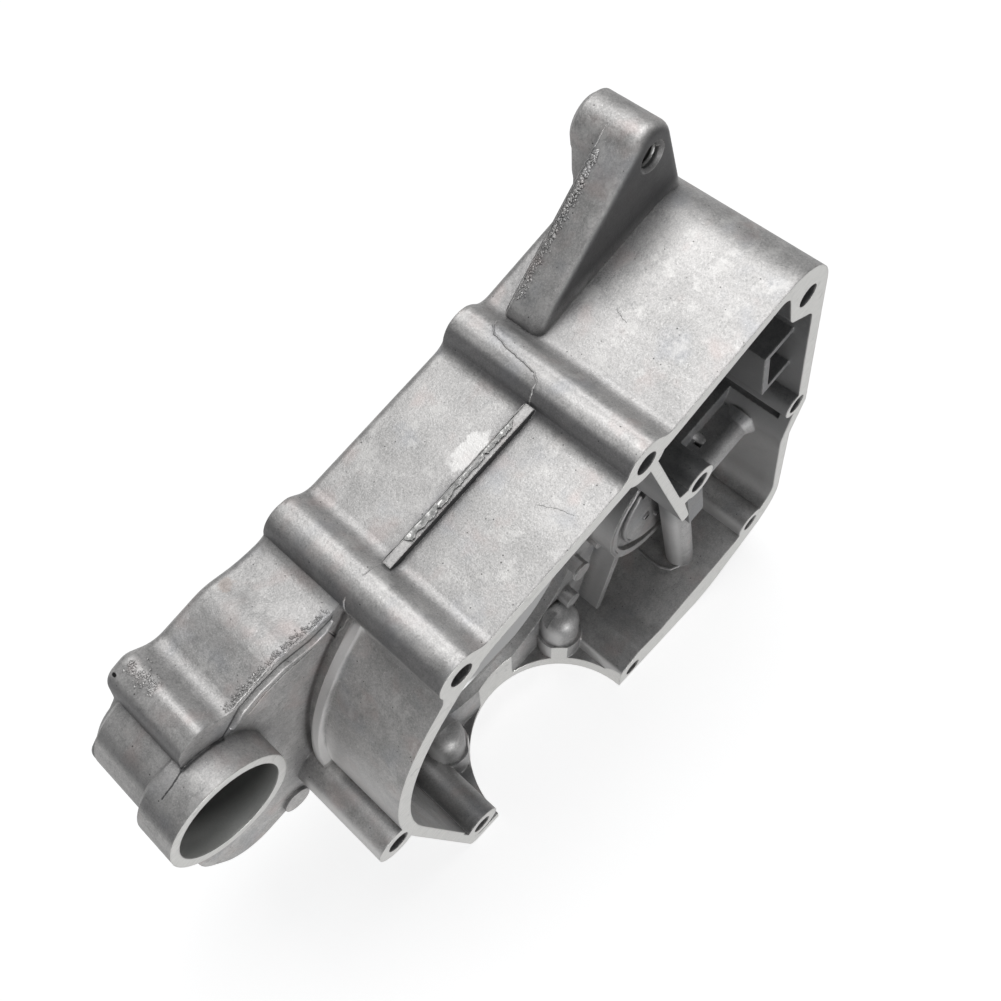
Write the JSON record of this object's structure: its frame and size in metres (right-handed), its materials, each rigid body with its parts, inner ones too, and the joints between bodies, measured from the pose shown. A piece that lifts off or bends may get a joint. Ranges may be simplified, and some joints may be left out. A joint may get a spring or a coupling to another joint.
{
  "type": "crankcase_cover",
  "caption": "Die-cast aluminium crankcase half of a small single-cylinder engine: machined split face, bolt columns, spigot bore, hanger boss, hanger lug and gear-side bearing boss",
  "frame": {"origin": "point where the cylinder axis meets the cylinder deck, in the plane of the split face", "axes": "+X along the cylinder deck away from the hanger boss, +Y from the split face into the casting, +Z along the cylinder axis from the deck into the case"},
  "size_m": [0.2276, 0.061, 0.2031],
  "materials": {
    "cast_aluminium": "satin"
  },
  "bodies": {
    "root": {"crankcase_cover": "cast_aluminium"}
  },
  "joints": []
}
